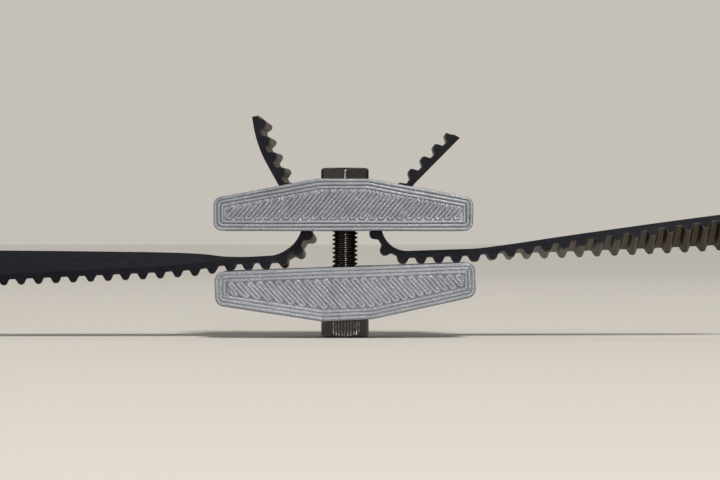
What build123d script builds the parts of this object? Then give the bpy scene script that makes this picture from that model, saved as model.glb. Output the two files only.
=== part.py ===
from build123d import *
import math
import os

# A toothed belt whose two ends are joined and tightened by a two-bar screw clamp.
# Millimetres, +Z up. The origin is on the screw's axis, at the bottom of the screw head.
# X runs along the belt, and Y = 0 is the middle of the belt's width.

# Clamp bars: one printed shape, used flat side down above and flat side up below.
BAR_LENGTH = 29.6
BAR_DEPTH = 10.0
BAR_HEIGHT = 5.96
BAR_END_HEIGHT = 3.75
BAR_CROWN = 5.8
BAR_CORNER_R = 1.0
UPPER_BASE_Z = 12.27
UPPER_SHIFT_X = -0.15
LOWER_TOP_Z = 8.09
LOWER_TILT_DEG = 2.07
CLEARANCE_R = 1.7

# Slots in the upper bar, mirrored about the screw: outline of the one on the +X side.
SLOT_DEPTH = 6.4
SLOT_INNER_WALL = [(2.55, 11.5), (2.55, 12.9), (3.05, 13.9), (5.75, 18.5)]
SLOT_OUTER_WALL = [(8.5, 18.5), (5.33, 12.9), (5.25, 11.5)]

# Screw, metric 3 x 16 with a socket head, standing on its head.
THREAD_PITCH = 0.5
CREST_R = 1.49
ROOT_R = 1.2
SHANK_LENGTH = 16.0
HEAD_R = 2.75
HEAD_HEIGHT = 3.0
HEAD_CHAMFER = 0.25
KEY_FLATS = 2.5
KEY_DEPTH = 1.5
HEAD_RECESS_R = 3.0
HEAD_GAP = 0.15

# Nut, metric 3, let into a pocket in the top of the upper bar.
NUT_FLATS = 5.5
NUT_HEIGHT = 2.4
NUT_BASE_Z = 17.14
NUT_BORE_R = 1.55
NUT_CHAMFER = 0.3
POCKET_GAP = 0.1

# Belt section, as heights from the line of the cords: + towards the teeth, - towards the back.
BELT_WIDTH = 6.0
TOOTH_PITCH = 2.0
BACK_HEIGHT = -0.546
ROOT_HEIGHT = 0.234
TIP_HEIGHT = 0.984
FACING = 0.1
ROOT_HALF_WIDTH = 0.66
TIP_HALF_WIDTH = 0.3
CORD_COUNT = 9
CORD_WIDTH = 0.28
CORD_HALF_HEIGHT = 0.11
CORD_SPACING = 0.64
ARC_STEP_DEG = 10.0

# The line of the cords in each end of the belt, from the cut to the tail's tip:
# x, z and the bend radius at each corner.
LEFT_ROUTE = [
    (-47.00, 8.07, 0.0),
    (-14.19, 8.62, 20.0),
    (-5.65, 8.93, 4.5),
    (-4.00, 12.60, 1.55),
    (-9.42, 22.38, 13.0),
    (-9.85, 25.33, 0.0),
]
RIGHT_ROUTE = [
    (46.94, 12.58, 0.0),
    (14.53, 9.65, 20.0),
    (4.84, 9.31, 3.6),
    (3.53, 12.64, 1.55),
    (7.64, 18.11, 6.0),
    (12.81, 23.33, 0.0),
]
LEFT_FIRST_TOOTH = 1.82
RIGHT_FIRST_TOOTH = 1.87
BEND_CORNER = 2
KINK_CORNER = 3
SEAM_GAP = 0.02


def route_spans(route):
    """Straight and round spans of a route: start, heading, curvature and length of each."""
    spans = []
    x, z, _ = route[0]
    for i, (cx, cz, radius) in enumerate(route[1:], start=1):
        heading = math.atan2(cz - z, cx - x)
        turn = 0.0
        if radius:
            nx, nz, _ = route[i + 1]
            turn = math.remainder(math.atan2(nz - cz, nx - cx) - heading, math.tau)
        tangent = radius * math.tan(abs(turn) / 2)
        straight = math.dist((x, z), (cx, cz)) - tangent
        spans.append(((x, z), heading, 0.0, straight))
        x += straight * math.cos(heading)
        z += straight * math.sin(heading)
        if radius:
            curvature = math.copysign(1 / radius, turn)
            spans.append(((x, z), heading, curvature, radius * abs(turn)))
            leave = heading + turn
            x = cx + tangent * math.cos(leave)
            z = cz + tangent * math.sin(leave)
    return spans


def route_point(spans, distance, height, tooth_side):
    """Point at a distance along the route, moved by a height towards the teeth."""
    for (x, z), heading, curvature, length in spans:
        if distance <= length + 1e-9:
            break
        distance -= length
    turned = heading + curvature * distance
    if curvature:
        x += (math.sin(turned) - math.sin(heading)) / curvature
        z -= (math.cos(turned) - math.cos(heading)) / curvature
    else:
        x += distance * math.cos(heading)
        z += distance * math.sin(heading)
    across = turned + tooth_side * math.pi / 2
    return (x + height * math.cos(across), z + height * math.sin(across))


def route_stations(spans, start, end):
    """Distances where a section's outline needs points: its ends and its round spans."""
    marks = {start, end}
    passed = 0.0
    for _, _, curvature, length in spans:
        angle = math.degrees(abs(curvature) * length)
        count = max(1, math.ceil(angle / ARC_STEP_DEG))
        marks.update(passed + length * i / count for i in range(count + 1))
        passed += length
    return sorted(m for m in marks if start <= m <= end)


def tooth_height(off_centre, trim):
    """Height of the tooth side: flat tips and grooves joined by straight flanks."""
    root, tip = ROOT_HEIGHT - trim, TIP_HEIGHT - trim
    half_root = ROOT_HALF_WIDTH - trim
    half_tip = TIP_HALF_WIDTH - trim
    rise = (half_root - off_centre) / (half_root - half_tip)
    return root + (tip - root) * min(1.0, max(0.0, rise))


def tooth_stations(stations, first_tooth, trim):
    """The stations, with the corners of the teeth between the first and last added."""
    start, end = stations[0], stations[-1]
    marks = set(stations)
    first = math.floor((start - first_tooth) / TOOTH_PITCH)
    last = math.ceil((end - first_tooth) / TOOTH_PITCH)
    for tooth in range(first, last + 1):
        centre = first_tooth + tooth * TOOTH_PITCH
        for half in (ROOT_HALF_WIDTH - trim, TIP_HALF_WIDTH - trim):
            marks.update((centre - half, centre + half))
    return sorted(m for m in marks if start <= m <= end)


def outline_solid(points, width, centre_y=0.0):
    """A closed outline in X and Z, given a width along Y."""
    face = Plane.XZ * make_face(Polyline(*points, close=True))
    return Pos(0, centre_y, 0) * extrude(face, amount=width / 2, both=True)


def band_line(spans, stations, height, tooth_side):
    return [route_point(spans, s, height, tooth_side) for s in stations]


def tooth_line(spans, stations, first_tooth, trim, tooth_side):
    line = []
    for s in tooth_stations(stations, first_tooth, trim):
        off_centre = abs(math.remainder(s - first_tooth, TOOTH_PITCH))
        line.append(route_point(spans, s, tooth_height(off_centre, trim), tooth_side))
    return line


def belt_section(spans, start, end, first_tooth, tooth_side):
    """Rubber, tooth facing and tension cords of one stretch of belt."""
    stations = route_stations(spans, start, end)
    back = band_line(spans, stations, BACK_HEIGHT, tooth_side)
    core = tooth_line(spans, stations, first_tooth, FACING, tooth_side)
    skin = tooth_line(spans, stations, first_tooth, 0.0, tooth_side)
    above = band_line(spans, stations, -CORD_HALF_HEIGHT, tooth_side)
    below = band_line(spans, stations, CORD_HALF_HEIGHT, tooth_side)
    rubber = outline_solid(back + core[::-1], BELT_WIDTH)
    facing = outline_solid(core + skin[::-1], BELT_WIDTH)
    cords = []
    for i in range(CORD_COUNT):
        y = (i - (CORD_COUNT - 1) / 2) * CORD_SPACING
        cords.append(outline_solid(above + below[::-1], CORD_WIDTH, y))
    for cord in cords:
        rubber -= cord
    return rubber, facing, Compound(children=cords)


def corner_distance(spans, corner):
    """Distance along the route to the start of the bend at a corner."""
    return sum(length for _, _, _, length in spans[: 2 * corner - 1])


def belt_end(side, route, first_tooth, tooth_side):
    """One end of the belt: its run, the bend beside the screw and the tail above the bar."""
    spans = route_spans(route)
    bend = corner_distance(spans, BEND_CORNER)
    kink = corner_distance(spans, KINK_CORNER)
    tip = sum(length for _, _, _, length in spans)
    stretches = {
        "run": (0.0, bend),
        "bend": (bend, kink - SEAM_GAP),
        "tail": (kink, tip),
    }
    nodes = {}
    for name, (start, end) in stretches.items():
        rubber, facing, cords = belt_section(spans, start, end, first_tooth, tooth_side)
        nodes[f"{side}_{name}_rubber"] = rubber
        nodes[f"{side}_{name}_facing"] = facing
        nodes[f"{side}_{name}_cords"] = cords
    return nodes


def bar_blank():
    """A bar without holes, flat side down at z = 0."""
    half = BAR_LENGTH / 2
    crown = BAR_CROWN / 2
    points = [
        (-half, 0),
        (half, 0),
        (half, BAR_END_HEIGHT),
        (crown, BAR_HEIGHT),
        (-crown, BAR_HEIGHT),
        (-half, BAR_END_HEIGHT),
    ]
    outline = make_face(Polyline(*points, close=True))
    corners = [v for v in outline.vertices() if abs(v.X) > crown + BAR_CORNER_R]
    outline = fillet(corners, BAR_CORNER_R)
    return extrude(Plane.XZ * outline, amount=BAR_DEPTH / 2, both=True)


def hole(radius, low_z, high_z):
    return extrude(Pos(0, 0, low_z) * Circle(radius), amount=high_z - low_z)


def hexagon(flats, low_z, high_z):
    """A hexagonal prism with two of its flats facing along X."""
    face = RegularPolygon(flats / 2, 6, major_radius=False, rotation=30)
    return extrude(Pos(0, 0, low_z) * face, amount=high_z - low_z)


def upper_clamp():
    bar = Pos(UPPER_SHIFT_X, 0, UPPER_BASE_Z) * bar_blank()
    top_z = UPPER_BASE_Z + BAR_HEIGHT
    bar -= hole(CLEARANCE_R, UPPER_BASE_Z, top_z)
    bar -= hexagon(NUT_FLATS + 2 * POCKET_GAP, NUT_BASE_Z, top_z)
    slot = outline_solid(SLOT_INNER_WALL + SLOT_OUTER_WALL, SLOT_DEPTH)
    bar -= slot
    bar -= mirror(slot, about=Plane.YZ)
    return bar


def lower_clamp():
    recess_depth = BAR_HEIGHT - (LOWER_TOP_Z - HEAD_HEIGHT - HEAD_GAP)
    bar = bar_blank()
    bar -= hole(CLEARANCE_R, 0, BAR_HEIGHT)
    bar -= hole(HEAD_RECESS_R, BAR_HEIGHT - recess_depth, BAR_HEIGHT)
    return Pos(0, 0, LOWER_TOP_Z) * Rot(0, -LOWER_TILT_DEG, 0) * Rot(180, 0, 0) * bar


def clamp_screw():
    """The screw, with its thread as one ring per turn."""
    profile = [
        (0, 0),
        (HEAD_R - HEAD_CHAMFER, 0),
        (HEAD_R, HEAD_CHAMFER),
        (HEAD_R, HEAD_HEIGHT),
    ]
    flat = THREAD_PITCH / 8
    for turn in range(round(SHANK_LENGTH / THREAD_PITCH)):
        z = HEAD_HEIGHT + turn * THREAD_PITCH
        profile.append((ROOT_R, z))
        profile.append((CREST_R, z + (THREAD_PITCH - flat) / 2))
        profile.append((CREST_R, z + (THREAD_PITCH + flat) / 2))
    tip_z = HEAD_HEIGHT + SHANK_LENGTH
    profile += [(ROOT_R, tip_z), (0, tip_z)]
    screw = revolve(Plane.XZ * make_face(Polyline(*profile, close=True)), Axis.Z)
    return screw - hexagon(KEY_FLATS, 0, KEY_DEPTH)


def hex_nut():
    """The nut, with its corners chamfered at both faces and a plain bore for its thread."""
    corner_r = NUT_FLATS / math.sqrt(3)
    top_z = NUT_BASE_Z + NUT_HEIGHT
    profile = [
        (0, NUT_BASE_Z),
        (corner_r - NUT_CHAMFER, NUT_BASE_Z),
        (corner_r, NUT_BASE_Z + NUT_CHAMFER / 2),
        (corner_r, top_z - NUT_CHAMFER / 2),
        (corner_r - NUT_CHAMFER, top_z),
        (0, top_z),
    ]
    round_blank = revolve(Plane.XZ * make_face(Polyline(*profile, close=True)), Axis.Z)
    nut = round_blank & hexagon(NUT_FLATS, NUT_BASE_Z, top_z)
    return nut - hole(NUT_BORE_R, NUT_BASE_Z, top_z)


nodes = {
    "upper_clamp": upper_clamp(),
    "lower_clamp": lower_clamp(),
    "clamp_screw": clamp_screw(),
    "hex_nut": hex_nut(),
}
nodes |= belt_end("left", LEFT_ROUTE, LEFT_FIRST_TOOTH, -1)
nodes |= belt_end("right", RIGHT_ROUTE, RIGHT_FIRST_TOOTH, 1)

os.makedirs("parts", exist_ok=True)
for name, shape in nodes.items():
    export_step(shape, f"parts/{name}.step")
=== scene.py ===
import math
import random

import bmesh
import bpy
from mathutils import Matrix, Vector


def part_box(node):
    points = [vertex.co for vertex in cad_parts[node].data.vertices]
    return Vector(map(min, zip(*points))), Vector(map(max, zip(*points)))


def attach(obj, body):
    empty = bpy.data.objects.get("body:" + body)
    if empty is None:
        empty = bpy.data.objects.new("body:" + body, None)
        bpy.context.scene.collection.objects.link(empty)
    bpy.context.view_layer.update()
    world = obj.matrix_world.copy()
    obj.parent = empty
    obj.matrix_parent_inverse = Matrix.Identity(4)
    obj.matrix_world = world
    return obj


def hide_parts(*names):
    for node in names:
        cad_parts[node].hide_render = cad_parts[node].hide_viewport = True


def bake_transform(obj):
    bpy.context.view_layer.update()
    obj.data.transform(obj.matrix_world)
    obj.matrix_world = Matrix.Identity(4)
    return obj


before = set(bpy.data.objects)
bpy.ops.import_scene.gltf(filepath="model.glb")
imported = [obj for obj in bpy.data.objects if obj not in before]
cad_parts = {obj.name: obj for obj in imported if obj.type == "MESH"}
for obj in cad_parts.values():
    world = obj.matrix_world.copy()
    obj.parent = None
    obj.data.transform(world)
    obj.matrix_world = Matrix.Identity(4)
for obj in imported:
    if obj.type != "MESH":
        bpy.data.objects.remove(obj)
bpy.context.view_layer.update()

MM = 0.001

# ---------------------------------------------------------------- camera

CAMERA_DISTANCE = 0.300
VIEW_WIDTH = 0.08333
VIEW_CENTRE_X = 0.00174
VIEW_CENTRE_Z = 0.01123
SENSOR = 36.0
CLIP_RANGE = (0.01, 20)

camera_data = bpy.data.cameras.new("camera")
camera = bpy.data.objects.new("camera", camera_data)
bpy.context.scene.collection.objects.link(camera)
camera.location = (VIEW_CENTRE_X, -CAMERA_DISTANCE, VIEW_CENTRE_Z)
camera.rotation_euler = (math.radians(90), 0, 0)
camera_data.sensor_width = SENSOR
camera_data.lens = SENSOR * CAMERA_DISTANCE / VIEW_WIDTH
camera_data.clip_start, camera_data.clip_end = CLIP_RANGE
bpy.context.scene.camera = camera

# ---------------------------------------------------------------- sizes, in millimetres

BAR_LENGTH = 29.6
BAR_DEPTH = 10.0
BAR_HEIGHT = 5.96
BAR_END_HEIGHT = 3.75
BAR_CROWN = 5.8
BAR_CORNER_R = 1.0
BAR_CROWN_R = 0.3
UPPER_BASE_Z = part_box("upper_clamp")[0].z / MM
UPPER_SHIFT_X = -0.15
LOWER_TOP_Z = 8.09
LOWER_TILT = math.radians(2.07)
CLEARANCE_R = 1.7

# One of the upper bar's two slots, which lie alike to the left and right of the screw.
SLOT_DEPTH = 6.4
SLOT_OUTLINE = [
    (2.55, 11.5),
    (2.55, 12.9),
    (3.05, 13.9),
    (5.75, 18.5),
    (8.5, 18.5),
    (5.33, 12.9),
    (5.25, 11.5),
]

# The print: its layers, and the beads of a face, which are perimeters with a zigzag infill inside them.
LAYER = 0.25
LAYER_GROOVE = 0.035
BEAD = 0.41
BEAD_DEPTH = 0.2
PERIMETERS = 3
INFILL_PITCH = 0.414
INFILL_ANGLE = math.radians(50)
INFILL_GAP = 0.16
INFILL_START = 0.6
INFILL_CORNER_R = 0.2
INFILL_CORNER_STEP = 0.06
SHORTEST_LINE = 0.3
UPPER_BEAD_SPREAD = 1.0
LOWER_BEAD_SPREAD = 1.3
UPPER_SEED = 11
LOWER_SEED = 12

# How far one printed layer's wall is inset: share of the layer's depth, and inset.
LAYER_PROFILE = [(0.0, LAYER_GROOVE), (0.22, 0.006), (0.5, 0.0), (0.78, 0.006)]
LAYER_SHIFT = 0.012
WALL_INSET = 0.012

# Waves along a layer's wall: height, and radians per millimetre.
LAYER_WAVE = (0.006, 0.9)
RIPPLE_WAVE = (0.004, 2.3)
RIPPLE_PHASES = 4

THREAD_PITCH = 0.5
CREST_R = 1.49
ROOT_R = 1.2

# Shares of half a thread pitch that the crest and the flank take.
CREST_SHARE = 0.12
FLANK_SHARE = 0.76

HEAD_R = 2.75
HEAD_HEIGHT = 3.0
KEY_FLATS = 2.5
KEY_DEPTH = 1.5
HEAD_RECESS_R = 3.0
HEAD_GAP = 0.15

# The knurl, with the shares of half a groove pitch that its land and its flank take.
KNURL_GROOVES = 44
KNURL_DEPTH = 0.075
KNURL_LAND = 0.45
KNURL_FLANK = 0.5

# The shank, whose thread fades out over a short way at the head and at the tip.
SHANK_COLUMNS = 72
ROWS_PER_PITCH = 12
SHANK_OVERLAP = 0.2
HEAD_FADE = 0.4
TIP_FADE = 0.35
TIP_CHAMFER = 0.12
TIP_CHAMFER_LENGTH = 0.3
SCREW_TIP_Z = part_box("clamp_screw")[1].z / MM

# How much of a hexagon's corner is left past its rounding.
CORNER_EASE = 0.25

NUT_FLATS = 5.5
NUT_COLUMNS = 144
NUT_FACE_R = 2.58
NUT_BORE_R = 1.52
NUT_THREAD_DEPTH = 0.24
NUT_CORNER_ROUND = 0.12
NUT_EDGE_EASE = 0.02
NUT_CHAMFER_SLOPE = math.tan(math.radians(30))
NUT_CHAMFER_R = 1.68
NUT_MID_R = 2.1
NUT_CHAMFER_HEIGHT = 0.15
NUT_BASE_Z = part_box("hex_nut")[0].z / MM
NUT_TOP_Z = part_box("hex_nut")[1].z / MM
POCKET_GAP = 0.1

BELT_WIDTH = 6.0
TOOTH_PITCH = 2.0
BACK_HEIGHT = -0.546
ROOT_HEIGHT = 0.234
FACING = 0.1
CORD_COUNT = 9
CORD_SPACING = 0.64
CORD_R = 0.12
CORD_SIDES = 8
CORD_STEP = 0.4
CORD_PROUD = 0.02
EDGE_ROUND = 0.03
INNER_COLUMNS = [-2.4, -1.6, -0.8, 0.0, 0.8, 1.6, 2.4]
GROOVE_MARKS = [0.85, 1.0]
STATION_GAP = 0.012

# Half a tooth: distance from its middle, and height above the groove floor.
TOOTH_CURVE = [
    (0.0, 0.75),
    (0.12, 0.737),
    (0.23, 0.695),
    (0.32, 0.62),
    (0.39, 0.515),
    (0.45, 0.395),
    (0.51, 0.27),
    (0.57, 0.15),
    (0.62, 0.065),
    (0.67, 0.015),
    (0.73, 0.0),
]

# The line of the cords in each end of the belt, from the cut to the tail's tip:
# x, z and the bend radius at each corner.
LEFT_ROUTE = [
    (-47.00, 8.07, 0.0),
    (-14.19, 8.62, 20.0),
    (-5.65, 8.93, 4.5),
    (-4.00, 12.60, 1.55),
    (-9.42, 22.38, 13.0),
    (-9.85, 25.33, 0.0),
]
RIGHT_ROUTE = [
    (46.94, 12.58, 0.0),
    (14.53, 9.65, 20.0),
    (4.84, 9.31, 3.6),
    (3.53, 12.64, 1.55),
    (7.64, 18.11, 6.0),
    (12.81, 23.33, 0.0),
]

# The middle of the first tooth, as a distance from the cut.
LEFT_FIRST_TOOTH = 1.82
RIGHT_FIRST_TOOTH = 1.87

# Distances from the cut between which a belt end turns up.
BEND_START = 37.0
BEND_END = 46.0

# The left tail's teeth lie slightly askew, and the right tip is cut at a slant, which reaches this far back.
LEFT_SKEW = 0.05
RIGHT_LEAN = -0.3
LEAN_REACH = 0.9

# Where each end starts to move with the upper bar, and where it fully does, in metres.
LEFT_BLEND = ((-8.9 * MM, 0, 8.8 * MM), (-7.4 * MM, 0, 11.8 * MM))
RIGHT_BLEND = ((7.5 * MM, 0, 9.3 * MM), (6.0 * MM, 0, 12.3 * MM))

# Twist of each belt end about its own line: distance from the cut, and degrees.
LEFT_TWIST = [
    (0.0, 30.0),
    (7.1, 26.6),
    (20.0, 18.7),
    (26.6, 14.0),
    (30.5, 9.0),
    (32.8, 3.0),
    (35.5, 0.0),
    (38.5, -1.5),
    (41.0, -4.3),
    (46.0, -4.3),
    (57.5, -4.3),
]
RIGHT_TWIST = [
    (0.0, 31.5),
    (6.5, 26.0),
    (14.6, 17.8),
    (22.9, 9.0),
    (28.1, 3.0),
    (32.6, 0.0),
    (56.0, 0.0),
]

# How far the teeth of each end are ahead of an even pitch: distance from the cut, and slip.
NO_SLIP = [(0.0, 0.0), (57.0, 0.0)]
RIGHT_SLIP = [
    (0.0, -0.5),
    (24.0, 0.0),
    (32.0, 0.3),
    (40.0, 0.5),
    (46.0, 0.62),
    (56.0, 0.62),
]


# ---------------------------------------------------------------- mesh helpers

# Edges turn sharp in the shading past these angles.
SHARP_DEG = 32.0
BEAD_SHARP_DEG = 60
CORD_SHARP_DEG = 60
SCREW_SHARP_DEG = 38
NUT_SHARP_DEG = 25


def smoothstep(t):
    t = min(1.0, max(0.0, t))
    return t * t * (3 - 2 * t)


def sine(wave, at, phase):
    """A wave, given as its height and its radians per unit, read at a place."""
    height, rate = wave
    return height * math.sin(rate * at + phase)


def make_object(name, vertices, faces, material, sharp_deg=SHARP_DEG):
    """A shaded mesh object from points in millimetres."""
    mesh = bpy.data.meshes.new(name)
    mesh.from_pydata([(x * MM, y * MM, z * MM) for x, y, z in vertices], [], faces)
    mesh.validate()
    mesh.shade_smooth()
    mesh.set_sharp_from_angle(angle=math.radians(sharp_deg))
    mesh.materials.append(material)
    obj = bpy.data.objects.new(name, mesh)
    bpy.context.scene.collection.objects.link(obj)
    return obj


def loft(rings, closed=False):
    """Quads between rings of equal length, with the two ends capped unless it closes on itself."""
    count = len(rings[0])
    vertices = [p for ring in rings for p in ring]
    faces = []
    spans = len(rings) if closed else len(rings) - 1
    for i in range(spans):
        a = i * count
        b = ((i + 1) % len(rings)) * count
        for j in range(count):
            k = (j + 1) % count
            faces.append((a + j, a + k, b + k, b + j))
    if not closed:
        faces.append(tuple(reversed(range(count))))
        last = (len(rings) - 1) * count
        faces.append(tuple(range(last, last + count)))
    return vertices, faces


def join_shells(shells):
    """Several closed shells as one set of vertices and faces."""
    vertices, faces = [], []
    for shell_vertices, shell_faces in shells:
        start = len(vertices)
        vertices += shell_vertices
        faces += [tuple(i + start for i in face) for face in shell_faces]
    return vertices, faces


def face_outwards(obj):
    """Makes every shell's faces point outwards."""
    work = bmesh.new()
    work.from_mesh(obj.data)
    bmesh.ops.recalc_face_normals(work, faces=work.faces)
    work.to_mesh(obj.data)
    work.free()
    return obj


def cut(obj, cutters):
    """Takes the cutters out of obj and removes them."""
    for cutter in cutters:
        modifier = obj.modifiers.new("cut", "BOOLEAN")
        modifier.operation = "DIFFERENCE"
        modifier.solver = "MANIFOLD"
        modifier.object = cutter
        bpy.context.view_layer.objects.active = obj
        bpy.ops.object.modifier_apply(modifier=modifier.name)
        bpy.data.objects.remove(cutter)


# ---------------------------------------------------------------- routes


def route_spans(route):
    """Straight and round spans of a route: start, heading, curvature and length of each."""
    spans = []
    x, z, _ = route[0]
    for i, (cx, cz, radius) in enumerate(route[1:], start=1):
        heading = math.atan2(cz - z, cx - x)
        turn = 0.0
        if radius:
            nx, nz, _ = route[i + 1]
            turn = math.remainder(math.atan2(nz - cz, nx - cx) - heading, math.tau)
        tangent = radius * math.tan(abs(turn) / 2)
        straight = math.dist((x, z), (cx, cz)) - tangent
        spans.append(((x, z), heading, 0.0, straight))
        x += straight * math.cos(heading)
        z += straight * math.sin(heading)
        if radius:
            spans.append(((x, z), heading, math.copysign(1 / radius, turn), radius * abs(turn)))
            leave = heading + turn
            x = cx + tangent * math.cos(leave)
            z = cz + tangent * math.sin(leave)
    return spans


def route_place(spans, distance):
    """Point and heading at a distance along a route, which goes on straight past its end."""
    i = 0
    while i < len(spans) - 1 and distance > spans[i][3] + 1e-9:
        distance -= spans[i][3]
        i += 1
    (x, z), heading, curvature, _ = spans[i]
    turned = heading + curvature * distance
    if curvature:
        x += (math.sin(turned) - math.sin(heading)) / curvature
        z -= (math.cos(turned) - math.cos(heading)) / curvature
    else:
        x += distance * math.cos(heading)
        z += distance * math.sin(heading)
    return x, z, turned


def route_length(spans):
    return sum(length for _, _, _, length in spans)


def between(table, value):
    """Smooth reading of a table of pairs, with no corner at any pair."""
    value = min(max(value, table[0][0]), table[-1][0])
    slopes = [0.0] * len(table)
    for i in range(1, len(table) - 1):
        (x0, y0), (x1, y1) = table[i - 1], table[i + 1]
        slopes[i] = (y1 - y0) / (x1 - x0)
    slopes[0] = (table[1][1] - table[0][1]) / (table[1][0] - table[0][0])
    for i in range(len(table) - 1):
        (x0, y0), (x1, y1) = table[i], table[i + 1]
        if value <= x1:
            break
    width = x1 - x0
    t = (value - x0) / width
    rise = y1 - y0
    a = slopes[i] * width - rise
    b = rise - slopes[i + 1] * width
    return y0 + rise * t + t * (1 - t) * (a * (1 - t) + b * t)


# ---------------------------------------------------------------- materials

# The sockets of a mix node that carry colours.
MIX_COLOUR_INPUTS = (6, 7)
MIX_COLOUR_OUTPUT = 2

NOISE_ROUGHNESS = 0.55
NOISE_LOW = 0.3
NOISE_HIGH = 0.7
BLACK = (0, 0, 0)
WHITE = (1, 1, 1)

# Scales of the wave textures, which have about 3.2 bands to a unit: the weave's is per millimetre and the
# cords' per metre.
WEAVE_SCALE = 1.6
CORD_TWIST_SCALE = 3000.0

# Where shade is painted on a tooth's flank: distance from the tooth's middle, and share of the painted
# shade.
PAINTED_FLANK_SHADE = [(0.32, BLACK), (0.46, WHITE), (0.62, WHITE), (0.74, BLACK)]


class Shader:
    """A material's node tree with short calls for the nodes used here."""

    def __init__(self, name):
        self.material = bpy.data.materials.new(name)
        self.material.use_nodes = True
        self.tree = self.material.node_tree
        self.surface = self.tree.nodes["Principled BSDF"]
        self.place = self.node("ShaderNodeTexCoord").outputs["Object"]

    def node(self, kind, **values):
        made = self.tree.nodes.new(kind)
        for key, value in values.items():
            setattr(made, key, value)
        return made

    def link(self, output, target):
        self.tree.links.new(output, target)

    def noise(self, size_mm, detail):
        made = self.node("ShaderNodeTexNoise")
        made.inputs["Scale"].default_value = 1 / (size_mm * MM)
        made.inputs["Detail"].default_value = detail
        made.inputs["Roughness"].default_value = NOISE_ROUGHNESS
        self.link(self.place, made.inputs["Vector"])
        return made.outputs["Fac"]

    def ramp(self, value, stops):
        made = self.node("ShaderNodeValToRGB")
        ramp = made.color_ramp
        while len(ramp.elements) < len(stops):
            ramp.elements.new(0.5)
        for element, (position, colour) in zip(ramp.elements, stops):
            element.position = position
            element.color = (*colour, 1.0)
        self.link(value, made.inputs["Fac"])
        return made.outputs["Color"]

    def spread(self, noise, to_low, to_high):
        """The middle of a noise's range, stretched to run between two values."""
        made = self.node("ShaderNodeMapRange")
        self.link(noise, made.inputs["Value"])
        made.inputs["From Min"].default_value = NOISE_LOW
        made.inputs["From Max"].default_value = NOISE_HIGH
        made.inputs["To Min"].default_value = to_low
        made.inputs["To Max"].default_value = to_high
        return made.outputs["Result"]

    def mix(self, factor, a, b):
        made = self.node("ShaderNodeMix", data_type="RGBA")
        self.link(factor, made.inputs["Factor"])
        for index, value in zip(MIX_COLOUR_INPUTS, (a, b)):
            self.fill(made.inputs[index], value)
        return made.outputs[MIX_COLOUR_OUTPUT]

    def bump(self, height, depth_mm, normal=None):
        made = self.node("ShaderNodeBump")
        made.inputs["Strength"].default_value = 1.0
        made.inputs["Distance"].default_value = depth_mm * MM
        self.link(height, made.inputs["Height"])
        if normal is not None:
            self.link(normal, made.inputs["Normal"])
        return made.outputs["Normal"]

    def set(self, name, value):
        self.fill(self.surface.inputs[name], value)

    def fill(self, socket, value):
        """Puts a number, a colour or another node's output into a socket."""
        if isinstance(value, (int, float)):
            socket.default_value = value
        elif isinstance(value, tuple):
            socket.default_value = (*value, 1.0)
        else:
            self.link(value, socket)


def printed_plastic():
    """Satin grey filament: faint cloudiness, bright flecks painted in as glints, and tiny pits."""
    s = Shader("printed_plastic")
    cloud = s.ramp(s.noise(2.4, 4.0), [(0.3, (0.122, 0.130, 0.148)), (0.7, (0.165, 0.176, 0.2))])
    # Bright flecks mixed into the base colour are painted glints on the beads.
    painted_glint = s.ramp(s.noise(0.09, 2.0), [(0.63, BLACK), (0.70, WHITE)])
    s.set("Base Color", s.mix(painted_glint, cloud, (0.62, 0.64, 0.68)))
    s.set("Roughness", s.spread(s.noise(0.5, 5.0), 0.2, 0.42))
    s.set("Specular IOR Level", 0.6)
    grain = s.bump(s.noise(0.07, 3.0), 0.006)
    s.set("Normal", s.bump(s.noise(0.6, 2.0), 0.02, grain))
    return s.material


def black_steel():
    """Oil-blackened steel: dark brown-black, with paler worn patches and a fine grain."""
    s = Shader("black_steel")
    wear = s.ramp(s.noise(1.6, 5.0), [(0.4, (0.008, 0.006, 0.0045)), (0.75, (0.018, 0.0135, 0.010))])
    s.set("Base Color", wear)
    s.set("Metallic", 0.35)
    s.set("Specular IOR Level", 0.9)
    s.set("Roughness", s.spread(s.noise(0.6, 4.0), 0.16, 0.28))
    s.set("Normal", s.bump(s.noise(0.15, 3.0), 0.0015))
    return s.material


def belt_rubber():
    """Moulded rubber: near black, faintly mottled, with sparse dust."""
    s = Shader("belt_rubber")
    base = s.ramp(s.noise(1.1, 4.0), [(0.3, (0.005, 0.0055, 0.009)), (0.7, (0.009, 0.009, 0.014))])
    dust = s.ramp(s.noise(0.16, 1.0), [(0.74, BLACK), (0.80, WHITE)])
    s.set("Base Color", s.mix(dust, base, (0.09, 0.08, 0.075)))
    s.set("Roughness", s.spread(s.noise(0.4, 4.0), 0.5, 0.7))
    s.set("Specular IOR Level", 0.08)
    s.set("Normal", s.bump(s.noise(0.1, 3.0), 0.008))
    return s.material


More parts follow.
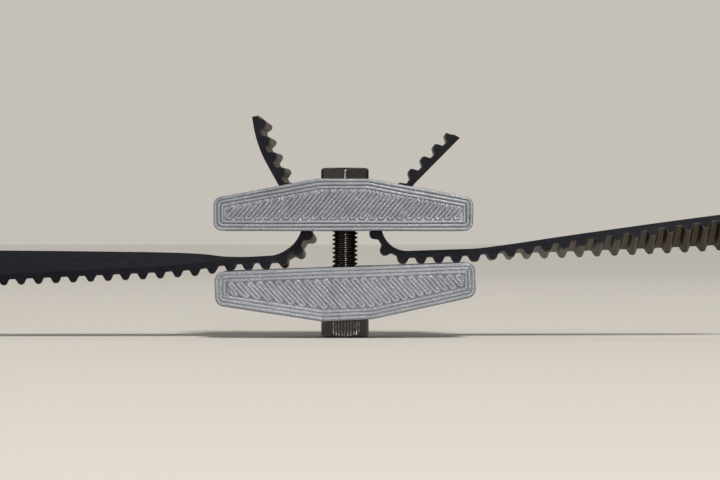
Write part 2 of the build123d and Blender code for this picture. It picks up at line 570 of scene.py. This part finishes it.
def tooth_facing():
    """Dark woven nylon on the toothed side, tinted brown as a painted reflection of yellow light, with
    painted shade on the flanks of the teeth.
    """
    s = Shader("tooth_facing")
    uv = s.node("ShaderNodeUVMap", uv_map="along_belt").outputs["UV"]
    weave = []
    for direction in ("X", "Y"):
        wave = s.node("ShaderNodeTexWave", wave_type="BANDS", bands_direction=direction)
        wave.inputs["Scale"].default_value = WEAVE_SCALE
        wave.inputs["Distortion"].default_value = 0.4
        s.link(uv, wave.inputs["Vector"])
        weave.append(wave.outputs["Fac"])
    threads = s.node("ShaderNodeMath", operation="MULTIPLY")
    s.link(weave[0], threads.inputs[0])
    s.link(weave[1], threads.inputs[1])
    split = s.node("ShaderNodeSeparateXYZ")
    s.link(uv, split.inputs["Vector"])
    off_centre = s.node("ShaderNodeMath", operation="PINGPONG")
    s.link(split.outputs["X"], off_centre.inputs[0])
    off_centre.inputs[1].default_value = TOOTH_PITCH / 2
    # A band on each tooth flank where shade is painted into the colour.
    flank = s.ramp(off_centre.outputs["Value"], PAINTED_FLANK_SHADE)
    # Dark facing colour, with a brown tint that is a painted reflection of yellow light.
    tone = s.ramp(s.noise(0.7, 4.0), [(0.3, (0.020, 0.011, 0.004)), (0.7, (0.042, 0.026, 0.010))])
    weave_with_painted_tint = s.mix(threads.outputs["Value"], tone, (0.065, 0.042, 0.02))
    # The near-black colour mixed in on the flanks is painted shade.
    s.set("Base Color", s.mix(flank, weave_with_painted_tint, (0.004, 0.003, 0.002)))
    s.set("Roughness", s.spread(s.noise(0.3, 4.0), 0.34, 0.52))
    s.set("Specular IOR Level", 0.2)
    s.set("Normal", s.bump(threads.outputs["Value"], 0.012))
    return s.material


def glass_cord():
    """Pale twisted glass-fibre strand."""
    s = Shader("glass_cord")
    wave = s.node("ShaderNodeTexWave", wave_type="BANDS", bands_direction="DIAGONAL")
    wave.inputs["Scale"].default_value = CORD_TWIST_SCALE
    wave.inputs["Distortion"].default_value = 1.0
    s.link(s.place, wave.inputs["Vector"])
    tone = s.ramp(wave.outputs["Fac"], [(0.2, (0.36, 0.33, 0.27)), (0.8, (0.62, 0.59, 0.50))])
    s.set("Base Color", tone)
    s.set("Roughness", s.spread(s.noise(0.1, 3.0), 0.4, 0.6))
    s.set("Normal", s.bump(wave.outputs["Fac"], 0.01))
    return s.material


PLASTIC = printed_plastic()
STEEL = black_steel()
RUBBER = belt_rubber()
NYLON = tooth_facing()
GLASS = glass_cord()


# ---------------------------------------------------------------- belt


def tooth_height(off_centre):
    if off_centre >= TOOTH_CURVE[-1][0]:
        return 0.0
    for (x0, y0), (x1, y1) in zip(TOOTH_CURVE, TOOTH_CURVE[1:]):
        if off_centre <= x1:
            return y0 + (y1 - y0) * (off_centre - x0) / (x1 - x0)


def belt_columns():
    """Positions across the width, with the share of a small edge round at each."""
    edge = BELT_WIDTH / 2
    inner = [(y, 0.0) for y in INNER_COLUMNS]
    return [(-edge, 1.0), (EDGE_ROUND - edge, 0.0), *inner, (edge - EDGE_ROUND, 0.0), (edge, 1.0)]


def belt_stations(length, first_tooth, slip):
    """Distances along a belt end that catch the curve of every tooth."""
    offsets = [x for x, _ in TOOTH_CURVE] + GROOVE_MARKS
    marks = {0.0, length}
    tooth = first_tooth - TOOTH_PITCH
    while tooth < length + TOOTH_PITCH:
        for offset in offsets:
            for mark in (tooth - offset, tooth + offset):
                marks.add(round(mark + between(slip, mark), 4))
        tooth += TOOTH_PITCH
    inside = sorted(m for m in marks if 0.0 <= m <= length)
    kept = [inside[0]]
    for mark in inside[1:]:
        if mark - kept[-1] > STATION_GAP:
            kept.append(mark)
    kept[-1] = length
    return kept


class BeltEnd:
    """One end of the belt, which lies along a route and twists about it.

    tooth_side is 1 where the teeth are on the left of the way along the route, and -1 on the right."""

    def __init__(
        self, route, first_tooth, tooth_side, twist, twist_sign, skew=0.0, slip=NO_SLIP, lean=0.0
    ):
        self.spans = route_spans(route)
        self.length = route_length(self.spans)
        self.first_tooth = first_tooth
        self.tooth_side = tooth_side
        self.twist = twist
        self.twist_sign = twist_sign
        self.skew = skew
        self.slip = slip
        self.lean = lean
        self.stations = belt_stations(self.length, first_tooth, slip)

    def place(self, distance, height, across):
        """A point of the belt: distance along it, height towards the teeth, and across its width."""
        skewed = distance - self.skew * across * self.after_bend(distance)
        near_tip = smoothstep((distance - self.length) / LEAN_REACH + 1)
        slanted = self.lean * (height - BACK_HEIGHT) * near_tip
        x, z, heading = route_place(self.spans, skewed + slanted)
        side = heading + self.tooth_side * math.pi / 2
        nx, nz = math.cos(side), math.sin(side)
        angle = math.radians(between(self.twist, distance)) * self.twist_sign
        down = height * math.cos(angle) - across * math.sin(angle)
        return (
            x + nx * down,
            height * math.sin(angle) + across * math.cos(angle),
            z + nz * down,
        )

    def after_bend(self, distance):
        """0 on the run, 1 on the tail."""
        return smoothstep((distance - BEND_START) / (BEND_END - BEND_START))

    def phase(self, distance):
        """Distance past the first tooth, as it would be if the pitch were even."""
        return distance - between(self.slip, distance) - self.first_tooth

    def tooth_line(self, distance):
        off_centre = abs(math.remainder(self.phase(distance), TOOTH_PITCH))
        return ROOT_HEIGHT + tooth_height(off_centre)

    def layer(self, name, low, high, round_low, round_high, material):
        """A layer of the belt between two heights, each a function of the distance."""
        columns = belt_columns()
        across = [y for y, _ in columns] + [y for y, _ in reversed(columns)]
        rings = []
        uvs = []
        for s in self.stations:
            lower = [self.place(s, low(s) + round_low * edge, y) for y, edge in columns]
            upper = [self.place(s, high(s) - round_high * edge, y) for y, edge in reversed(columns)]
            rings.append(lower + upper)
            uvs += [(self.phase(s), y) for y in across]
        vertices, faces = loft(rings)
        obj = face_outwards(make_object(name, vertices, faces, material))
        uv_layer = obj.data.uv_layers.new(name="along_belt")
        for loop in obj.data.loops:
            uv_layer.data[loop.index].uv = uvs[loop.vertex_index]
        return obj

    def cord(self, across, start, end):
        """One strand at a position across the width, between two distances from the cut."""
        rings = []
        count = max(2, round((end - start) / CORD_STEP))
        for i in range(count + 1):
            s = start + (end - start) * i / count
            ring = []
            for j in range(CORD_SIDES):
                a = math.tau * j / CORD_SIDES
                ring.append(self.place(s, CORD_R * math.cos(a), across + CORD_R * math.sin(a)))
            rings.append(ring)
        return loft(rings)


def build_belt(side, belt, blend_start, blend_end):
    """The rubber, the facing and the cords of one belt end."""

    def skin(s):
        return belt.tooth_line(s)

    def core(s):
        return belt.tooth_line(s) - FACING

    def back(s):
        return BACK_HEIGHT

    rubber = belt.layer(f"{side}_belt_rubber", back, core, EDGE_ROUND, 0.0, RUBBER)
    facing = belt.layer(f"{side}_belt_facing", core, skin, 0.0, EDGE_ROUND, NYLON)
    strands = []
    for i in range(CORD_COUNT):
        across = (i - (CORD_COUNT - 1) / 2) * CORD_SPACING
        strands.append(belt.cord(across, -CORD_PROUD, belt.length + CORD_PROUD))
    vertices, faces = join_shells(strands)
    cords = face_outwards(make_object(f"{side}_belt_cords", vertices, faces, GLASS, CORD_SHARP_DEG))
    layers = [
        (rubber, "rubber", "belt_rubber"),
        (facing, "facing", "tooth_facing"),
        (cords, "cords", "glass_cord"),
    ]
    for obj, kind, slot in layers:
        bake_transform(obj)
        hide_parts(f"{side}_run_{kind}", f"{side}_bend_{kind}", f"{side}_tail_{kind}")


left_belt = BeltEnd(LEFT_ROUTE, LEFT_FIRST_TOOTH, -1, LEFT_TWIST, 1, skew=LEFT_SKEW)
right_belt = BeltEnd(
    RIGHT_ROUTE, RIGHT_FIRST_TOOTH, 1, RIGHT_TWIST, -1, slip=RIGHT_SLIP, lean=RIGHT_LEAN
)
build_belt("left", left_belt, *LEFT_BLEND)
build_belt("right", right_belt, *RIGHT_BLEND)


# ---------------------------------------------------------------- printed bars

OUTLINE_STEP = 0.5
PERIMETER_STEP = 0.4
ARC_STEP = math.radians(12)
SMALLEST_R = 0.02
BEAD_SIDES = 12
BEAD_SQUARENESS = 0.85
BEAD_END_SHRINK = 0.35
CUT_PAST = 1
HOLE_SIDES = 48
RECESS_SIDES = 64

def bar_corners():
    half = BAR_LENGTH / 2
    crown = BAR_CROWN / 2
    return [
        (-half, 0.0, BAR_CORNER_R),
        (half, 0.0, BAR_CORNER_R),
        (half, BAR_END_HEIGHT, BAR_CORNER_R),
        (crown, BAR_HEIGHT, BAR_CROWN_R),
        (-crown, BAR_HEIGHT, BAR_CROWN_R),
        (-half, BAR_END_HEIGHT, BAR_CORNER_R),
    ]


def bar_outline(inset, step=OUTLINE_STEP):
    """The bar's side view moved inwards, anticlockwise: points with their outward normals.

    The count of points doesn't depend on the inset."""
    corners = bar_corners()
    count = len(corners)
    normals = []
    for i in range(count):
        (ax, az, _), (bx, bz, _) = corners[i], corners[(i + 1) % count]
        length = math.dist((ax, az), (bx, bz))
        normals.append(((bz - az) / length, (ax - bx) / length))
    arcs = []
    for i in range(count):
        x, z, radius = corners[i]
        n0, n1 = normals[i - 1], normals[i]
        cosine = n0[0] * n1[0] + n0[1] * n1[1]
        share = 1 / (1 + cosine)
        mitre = ((n0[0] + n1[0]) * share, (n0[1] + n1[1]) * share)
        centre = (x - mitre[0] * radius, z - mitre[1] * radius)
        left = max(SMALLEST_R, radius - inset)
        if left > radius - inset:
            extra = left - (radius - inset)
            centre = (centre[0] - mitre[0] * extra, centre[1] - mitre[1] * extra)
        start = math.atan2(n0[1], n0[0])
        turn = math.remainder(math.atan2(n1[1], n1[0]) - start, math.tau)
        pieces = max(2, round(abs(turn) / ARC_STEP))
        arc = []
        for j in range(pieces + 1):
            a = start + turn * j / pieces
            nx, nz = math.cos(a), math.sin(a)
            arc.append((centre[0] + left * nx, centre[1] + left * nz, nx, nz))
        arcs.append(arc)
    points = []
    for i in range(count):
        points += arcs[i]
        x0, z0, nx, nz = arcs[i][-1]
        x1, z1, _, _ = arcs[(i + 1) % count][0]
        cx0, cz0, _ = corners[i]
        cx1, cz1, _ = corners[(i + 1) % count]
        pieces = max(1, round(math.dist((cx0, cz0), (cx1, cz1)) / step))
        for j in range(1, pieces):
            t = j / pieces
            points.append((x0 + (x1 - x0) * t, z0 + (z1 - z0) * t, nx, nz))
    return points


def bar_core(rng):
    """The stack of printed layers, as a solid whose walls ripple once a layer."""
    flat_y = BAR_DEPTH / 2 - BEAD_DEPTH
    layers = round(2 * flat_y / LAYER)
    outline = bar_outline(0.0)
    phases = [rng.uniform(0, math.tau) for _ in range(RIPPLE_PHASES)]
    rings = []
    for layer in range(layers):
        shift = rng.uniform(-LAYER_SHIFT, LAYER_SHIFT)
        phase = rng.uniform(0, math.tau)
        for t, inset in LAYER_PROFILE:
            y = -flat_y + (layer + t) * 2 * flat_y / layers
            ring = []
            for i, (x, z, nx, nz) in enumerate(outline):
                wobble = sine(LAYER_WAVE, x, phase) + sine(RIPPLE_WAVE, x, phases[i % RIPPLE_PHASES])
                d = -inset + shift - WALL_INSET + wobble
                ring.append((x + nx * d, y, z + nz * d))
            rings.append(ring)
    rings.append([(x, flat_y, z) for x, _, z in rings[0]])
    return loft(rings)


def bead_path(points, closed):
    """Points of a bead with the unit vector across it at each."""
    count = len(points)
    path = []
    for i, (x, z) in enumerate(points):
        before = points[i - 1] if closed or i else points[0]
        after = points[(i + 1) % count] if closed or i + 1 < count else points[-1]
        dx, dz = after[0] - before[0], after[1] - before[1]
        length = math.hypot(dx, dz) or 1.0
        path.append((x, z, -dz / length, dx / length))
    return path


def bead_waves(closed, travelled, turn, phase):
    """How a bead's width, height and course waver, along its length or round its loop."""
    if closed:
        swell = 1 + sine((0.04, 9), turn, phase)
        lift = sine((0.008, 7), turn, phase)
        drift = sine((0.018, 5), turn, 4 * phase)
    else:
        swell = 1 + sine((0.08, 1.7), travelled, phase) + sine((0.03, 5.3), travelled, 2 * phase)
        lift = sine((0.010, 1.1), travelled, 3 * phase)
        drift = sine((0.022, 0.8), travelled, 5 * phase) + sine((0.012, 2.7), travelled, phase)
    return swell, lift, drift


def bead(points, closed, width, depth, top_y, rng):
    """One extruded bead on a face: a flattened tube whose crest is at top_y."""
    side = 1 if top_y > 0 else -1
    phase = rng.uniform(0, math.tau)
    rings = []
    path = bead_path(points, closed)
    last = len(path) - 1
    travelled = 0.0
    for i, (x, z, ax, az) in enumerate(path):
        if i:
            travelled += math.dist((x, z), path[i - 1][:2])
        swell, lift, drift = bead_waves(closed, travelled, math.tau * i / len(path), phase)
        shrink = BEAD_END_SHRINK if not closed and i in (0, last) else 1.0
        ring = []
        for j in range(BEAD_SIDES):
            a = math.tau * j / BEAD_SIDES
            c, s = math.cos(a), math.sin(a)
            wide = math.copysign(abs(c) ** BEAD_SQUARENESS, c)
            across = drift + wide * width / 2 * swell * shrink
            up = math.copysign(abs(s) ** BEAD_SQUARENESS, s) * depth * shrink
            y = top_y + side * (up - depth + lift)
            ring.append((x + ax * across, y, z + az * across))
        rings.append(ring)
    return loft(rings, closed)


def clip_line(polygon, direction, offset):
    """Where the line at an offset crosses a convex outline, in order along its direction."""
    dx, dz = direction
    nx, nz = -dz, dx
    hits = []
    count = len(polygon)
    for i in range(count):
        x0, z0 = polygon[i][:2]
        x1, z1 = polygon[(i + 1) % count][:2]
        s0 = x0 * nx + z0 * nz - offset
        s1 = x1 * nx + z1 * nz - offset
        if (s0 < 0) != (s1 < 0):
            t = s0 / (s0 - s1)
            x, z = x0 + (x1 - x0) * t, z0 + (z1 - z0) * t
            hits.append((x * dx + z * dz, x, z))
    return [(x, z) for _, x, z in sorted(hits)]


def round_corners(points, radius, step):
    """An open line with its corners rounded, sampled evenly along its bends."""
    route = [(*points[0], 0.0)]
    for before, here, after in zip(points, points[1:], points[2:]):
        turn = math.remainder(
            math.atan2(after[1] - here[1], after[0] - here[0])
            - math.atan2(here[1] - before[1], here[0] - before[0]),
            math.tau,
        )
        room = 0.49 * min(math.dist(before, here), math.dist(here, after))
        tangent = math.tan(abs(turn) / 2)
        route.append((*here, max(0.01, min(radius, room / max(tangent, 1e-6)))))
    route.append((*points[-1], 0.0))
    spans = route_spans(route)
    sampled = []
    passed = 0.0
    for _, _, curvature, length in spans:
        pieces = max(1, math.ceil(length / (step if curvature else OUTLINE_STEP)))
        for i in range(pieces):
            sampled.append(route_place(spans, passed + length * i / pieces)[:2])
        passed += length
    sampled.append(points[-1])
    return sampled


def infill_path(angle):
    """The zigzag that fills the space inside the perimeters, as one line."""
    polygon = [(x, z) for x, z, _, _ in bar_outline(PERIMETERS * BEAD + INFILL_GAP)]
    direction = (math.cos(angle), math.sin(angle))
    normal = (-direction[1], direction[0])
    reach = [x * normal[0] + z * normal[1] for x, z in polygon]
    lines = int((max(reach) - min(reach)) / INFILL_PITCH)
    points = []
    for i in range(lines):
        offset = min(reach) + (i + INFILL_START) * INFILL_PITCH
        ends = clip_line(polygon, direction, offset)
        if len(ends) != 2 or math.dist(*ends) < SHORTEST_LINE:
            continue
        points += ends if i % 2 else ends[::-1]
    return round_corners(points, INFILL_CORNER_R, INFILL_CORNER_STEP)


def bar_face(top_y, angle, width_factor, rng):
    """The beads of one face: the perimeters and the infill inside them."""
    shells = []
    for ring in range(PERIMETERS):
        loop = [(x, z) for x, z, _, _ in bar_outline((ring + 0.5) * BEAD, PERIMETER_STEP)]
        shells.append(bead(loop, True, BEAD * width_factor, BEAD_DEPTH, top_y, rng))
    path = infill_path(angle)
    shells.append(bead(path, False, INFILL_PITCH * width_factor, BEAD_DEPTH, top_y, rng))
    return join_shells(shells)


def placed(vertices, matrix):
    return [tuple(matrix @ Vector(v)) for v in vertices]


def prism(outline, low_y, high_y):
    """A closed outline in X and Z between two values of Y."""
    return loft([[(x, y, z) for x, z in outline] for y in (low_y, high_y)])


def round_prism(radius, low_z, high_z, sides, phase=0.0):
    """A regular prism about the Z axis."""
    angles = [phase + math.tau * i / sides for i in range(sides)]
    return loft([[(radius * math.cos(a), radius * math.sin(a), z) for a in angles] for z in (low_z, high_z)])


def cutter(vertices, faces):
    return face_outwards(make_object("cutter", vertices, faces, PLASTIC))


def build_bar(name, body, node, matrix, faces_of_bar, width_factor, seed, cutters):
    """One bar: its stack of layers with the holes cut, and the beads on its front and back."""
    rng = random.Random(seed)
    vertices, faces = bar_core(rng)
    core = face_outwards(make_object(f"{name}_layers", placed(vertices, matrix), faces, PLASTIC))
    cut(core, cutters)
    core.data.shade_smooth()
    core.data.set_sharp_from_angle(angle=math.radians(SHARP_DEG))
    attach(core, body)
    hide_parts(node)
    for label, side, angle in faces_of_bar:
        vertices, faces = bar_face(side * BAR_DEPTH / 2, angle, width_factor, rng)
        points = placed(vertices, matrix)
        beads = make_object(f"{name}_{label}_beads", points, faces, PLASTIC, BEAD_SHARP_DEG)
        face_outwards(beads)
        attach(beads, body)


def upper_cutters():
    top_z = UPPER_BASE_Z + BAR_HEIGHT
    mirrored = [(-x, z) for x, z in SLOT_OUTLINE]
    pocket_r = (NUT_FLATS / 2 + POCKET_GAP) / math.cos(math.pi / 6)
    return [
        cutter(*prism(SLOT_OUTLINE, -SLOT_DEPTH / 2, SLOT_DEPTH / 2)),
        cutter(*prism(mirrored, -SLOT_DEPTH / 2, SLOT_DEPTH / 2)),
        cutter(*round_prism(CLEARANCE_R, UPPER_BASE_Z - CUT_PAST, top_z + CUT_PAST, HOLE_SIDES)),
        cutter(*round_prism(pocket_r, NUT_BASE_Z, top_z + CUT_PAST, 6, math.pi / 6)),
    ]


def lower_cutters(matrix):
    floor_z = LOWER_TOP_Z - HEAD_HEIGHT - HEAD_GAP
    shapes = [
        round_prism(CLEARANCE_R, -CUT_PAST, BAR_HEIGHT + CUT_PAST, HOLE_SIDES),
        round_prism(HEAD_RECESS_R, floor_z, BAR_HEIGHT + CUT_PAST, RECESS_SIDES),
    ]
    return [cutter(placed(vertices, matrix), faces) for vertices, faces in shapes]


upper_matrix = Matrix.Translation((UPPER_SHIFT_X, 0, UPPER_BASE_Z))
lower_matrix = (
    Matrix.Translation((0, 0, LOWER_TOP_Z))
    @ Matrix.Rotation(-LOWER_TILT, 4, "Y")
    @ Matrix.Rotation(math.pi, 4, "X")
)
rising, falling = INFILL_ANGLE, math.pi - INFILL_ANGLE
upper_faces = [("front", -1, rising), ("back", 1, falling)]
lower_faces = [("front", 1, rising), ("back", -1, falling)]
build_bar(
    "upper_clamp", "upper", "upper_clamp", upper_matrix, upper_faces,
    UPPER_BEAD_SPREAD, UPPER_SEED, upper_cutters(),
)
build_bar(
    "lower_clamp", "lower", "lower_clamp", lower_matrix, lower_faces,
    LOWER_BEAD_SPREAD, LOWER_SEED, lower_cutters(lower_matrix),
)


# ---------------------------------------------------------------- screw and nut


def polar_ring(radius_at, z_at, columns):
    ring = []
    for i in range(columns):
        a = math.tau * i / columns
        r = radius_at(a)
        ring.append((r * math.cos(a), r * math.sin(a), z_at(a, r)))
    return ring


def plain(radius):
    """The same radius all the way round."""
    return lambda a: radius


def level(z):
    """The same height all the way round."""
    return lambda a, r: z


def hexagon_radius(angle, flats, round_r=0.0):
    """Radius of a hexagon with flats facing along X, its corners eased."""
    local = math.remainder(angle, math.pi / 3)
    sharp = flats / 2 / math.cos(local)
    corner = flats / 2 / math.cos(math.pi / 6) - round_r
    return min(sharp, corner + (sharp - corner) * CORNER_EASE) if sharp > corner else sharp


def thread_wave(turns):
    """Height of a rounded V thread, from 0 in the root to 1 on the crest."""
    t = abs(math.remainder(turns, 1.0)) * 2
    return 1 - smoothstep((t - CREST_SHARE) / FLANK_SHARE)


def screw_shank():
    """The threaded shank, which starts inside the head and fades out at its tip."""
    low_z = HEAD_HEIGHT - SHANK_OVERLAP
    rows = round((SCREW_TIP_Z - low_z) / THREAD_PITCH * ROWS_PER_PITCH)
    rings = []
    for row in range(rows + 1):
        z = low_z + (SCREW_TIP_Z - low_z) * row / rows
        fade = smoothstep((SCREW_TIP_Z - z) / TIP_FADE) * smoothstep((z - HEAD_HEIGHT) / HEAD_FADE)
        chamfer = TIP_CHAMFER * smoothstep((z - SCREW_TIP_Z + TIP_CHAMFER_LENGTH) / TIP_CHAMFER_LENGTH)

        def radius(a, z=z, fade=fade, chamfer=chamfer):
            wave = thread_wave(z / THREAD_PITCH - a / math.tau)
            return ROOT_R + (CREST_R - ROOT_R) * wave * fade - chamfer

        rings.append(polar_ring(radius, level(z), SHANK_COLUMNS))
    return loft(rings)


def screw_head():
    """The knurled head, from the floor of its socket, over its lower face and side, to its upper face."""

    def knurl(depth):
        def radius(a):
            t = abs(math.remainder(a * KNURL_GROOVES / math.tau, 1.0)) * 2
            return HEAD_R - depth * smoothstep((t - KNURL_LAND) / KNURL_FLANK)

        return radius

    def socket(scale=1.0):
        return lambda a: hexagon_radius(a, KEY_FLATS * scale)

    # Radius round the head, and height, of each ring.
    rows = [
        (plain(0.02), 1.95),
        (plain(0.6), 1.62),
        (plain(1.18), KEY_DEPTH - 0.02),
        (socket(), KEY_DEPTH - 0.03),
        (socket(), 0.75),
        (socket(), 0.12),
        (socket(1.03), 0.06),
        (plain(1.52), 0.0),
        (plain(2.0), 0.0),
        (plain(HEAD_R - 0.30), 0.0),
        (plain(HEAD_R - 0.16), 0.045),
        (knurl(0.0), 0.20),
        (knurl(0.02), 0.24),
        (knurl(KNURL_DEPTH), 0.36),
        (knurl(KNURL_DEPTH), 1.0),
        (knurl(KNURL_DEPTH), 1.8),
        (knurl(KNURL_DEPTH), 2.72),
        (knurl(0.03), 2.84),
        (knurl(0.0), 2.90),
        (plain(HEAD_R - 0.03), 2.96),
        (plain(HEAD_R - 0.09), HEAD_HEIGHT),
        (plain(2.0), HEAD_HEIGHT),
        (plain(1.3), HEAD_HEIGHT),
    ]
    return loft([polar_ring(radius, level(z), KNURL_GROOVES * 6) for radius, z in rows])


def nut_shell():
    """The nut: its upper face, side and lower face, closed by its threaded bore."""

    def outer(a):
        return hexagon_radius(a, NUT_FLATS, NUT_CORNER_ROUND)

    def corner(a):
        return outer(a) - NUT_EDGE_EASE

    def shoulder(a):
        return (outer(a) + NUT_FACE_R) / 2

    def bore(z):
        def radius(a):
            wave = thread_wave(z / THREAD_PITCH - a / math.tau)
            return NUT_BORE_R - NUT_THREAD_DEPTH * (1 - wave)

        return radius

    def from_top(drop):
        return lambda a, r: NUT_TOP_Z - drop - (r - NUT_FACE_R) * NUT_CHAMFER_SLOPE

    def from_base(rise):
        return lambda a, r: NUT_BASE_Z + rise + (r - NUT_FACE_R) * NUT_CHAMFER_SLOPE

    rows = [
        (plain(NUT_CHAMFER_R), level(NUT_TOP_Z)),
        (plain(NUT_MID_R), level(NUT_TOP_Z)),
        (plain(NUT_FACE_R), level(NUT_TOP_Z)),
        (shoulder, from_top(0.01)),
        (corner, from_top(0.01)),
        (outer, from_top(0.04)),
        (outer, level((NUT_TOP_Z + NUT_BASE_Z) / 2)),
        (outer, from_base(0.04)),
        (corner, from_base(0.01)),
        (plain(NUT_FACE_R), level(NUT_BASE_Z)),
        (plain(NUT_CHAMFER_R), level(NUT_BASE_Z)),
    ]
    threaded = NUT_TOP_Z - NUT_BASE_Z - 2 * NUT_CHAMFER_HEIGHT
    count = round(threaded / THREAD_PITCH * ROWS_PER_PITCH)
    for i in range(count + 1):
        z = NUT_BASE_Z + NUT_CHAMFER_HEIGHT + threaded * i / count
        rows.append((bore(z), level(z)))
    return loft([polar_ring(radius, height, NUT_COLUMNS) for radius, height in rows], closed=True)


vertices, faces = join_shells([screw_head(), screw_shank()])
screw = face_outwards(make_object("cap_screw", vertices, faces, STEEL, SCREW_SHARP_DEG))
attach(screw, "screw")
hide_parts("clamp_screw")

nut = face_outwards(make_object("captive_nut", *nut_shell(), STEEL, NUT_SHARP_DEG))
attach(nut, "upper")
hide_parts("hex_nut")


# ---------------------------------------------------------------- floor and light, in metres

FLOOR_REACH = 6.0
FLOOR_COLOUR = (0.62, 0.585, 0.53)
FLOOR_ROUGHNESS = 0.9

# The surround fades from one colour to the other between two values of the view direction's Z.
HORIZON_COLOUR = (0.56, 0.53, 0.48)
OVERHEAD_COLOUR = (0.13, 0.135, 0.145)
HORIZON_RISE = (0.12, 0.45)

SUN_PLACE = (0.10, -0.30, 0.40)
SUN_SPREAD_DEG = 16
SUN_STRENGTH = 2.5
SUN_COLOUR = (1.0, 0.98, 0.95)

# Name, place, target, size, power and colour of each area light.
AREA_LIGHTS = [
    ("key", (0.08, -0.30, 0.34), (0, 0, 0.012), (0.14, 0.10), 0.35, (1.0, 0.98, 0.95)),
    ("front", (0.04, -0.45, 0.05), (0, 0, 0.012), (0.03, 0.03), 0.65, (1.0, 0.99, 0.97)),
    ("fill", (-0.35, -0.25, 0.16), (0, 0, 0.012), (0.25, 0.2), 0.3, (0.95, 0.97, 1.0)),
    ("rim", (0.05, 0.28, 0.35), (0, 0, 0.015), (0.4, 0.12), 0.15, (1.0, 1.0, 1.0)),
]


def studio_floor():
    """A wide plain pale floor."""
    corners = [(x * FLOOR_REACH, y * FLOOR_REACH, 0.0) for x, y in ((-1, -1), (1, -1), (1, 1), (-1, 1))]
    mesh = bpy.data.meshes.new("studio_floor")
    mesh.from_pydata(corners, [], [(0, 1, 2, 3)])
    floor = bpy.data.objects.new("studio_floor", mesh)
    bpy.context.scene.collection.objects.link(floor)
    s = Shader("studio_paper")
    s.set("Base Color", FLOOR_COLOUR)
    s.set("Roughness", FLOOR_ROUGHNESS)
    floor.data.materials.append(s.material)


def studio_world():
    """A soft pale surround: brightest at the horizon, dimmer overhead."""
    world = bpy.data.worlds.new("studio")
    world.use_nodes = True
    nodes, links = world.node_tree.nodes, world.node_tree.links
    direction = nodes.new("ShaderNodeTexCoord").outputs["Generated"]
    split = nodes.new("ShaderNodeSeparateXYZ")
    links.new(direction, split.inputs["Vector"])
    ramp = nodes.new("ShaderNodeValToRGB")
    links.new(split.outputs["Z"], ramp.inputs["Fac"])
    stops = zip(ramp.color_ramp.elements, HORIZON_RISE, (HORIZON_COLOUR, OVERHEAD_COLOUR))
    for element, position, colour in stops:
        element.position = position
        element.color = (*colour, 1.0)
    links.new(ramp.outputs["Color"], nodes["Background"].inputs["Color"])
    nodes["Background"].inputs["Strength"].default_value = 1.0
    bpy.context.scene.world = world


def add_light(data, place, target, power, colour):
    """Links a light that shines from its place towards its target."""
    data.energy = power
    data.color = colour
    light = bpy.data.objects.new(data.name, data)
    bpy.context.scene.collection.objects.link(light)
    light.location = place
    light.rotation_euler = (Vector(target) - Vector(place)).to_track_quat("-Z", "Y").to_euler()


def area_light(name, place, target, size, power, colour):
    data = bpy.data.lights.new(name, "AREA")
    data.shape = "RECTANGLE"
    data.size, data.size_y = size
    add_light(data, place, target, power, colour)


def soft_sun():
    """An even light from far away, which reaches the whole floor."""
    data = bpy.data.lights.new("sun", "SUN")
    data.angle = math.radians(SUN_SPREAD_DEG)
    add_light(data, SUN_PLACE, (0, 0, 0), SUN_STRENGTH, SUN_COLOUR)


studio_floor()
soft_sun()
for light_values in AREA_LIGHTS:
    area_light(*light_values)

studio_world()
bpy.context.scene.view_settings.view_transform = "Standard"
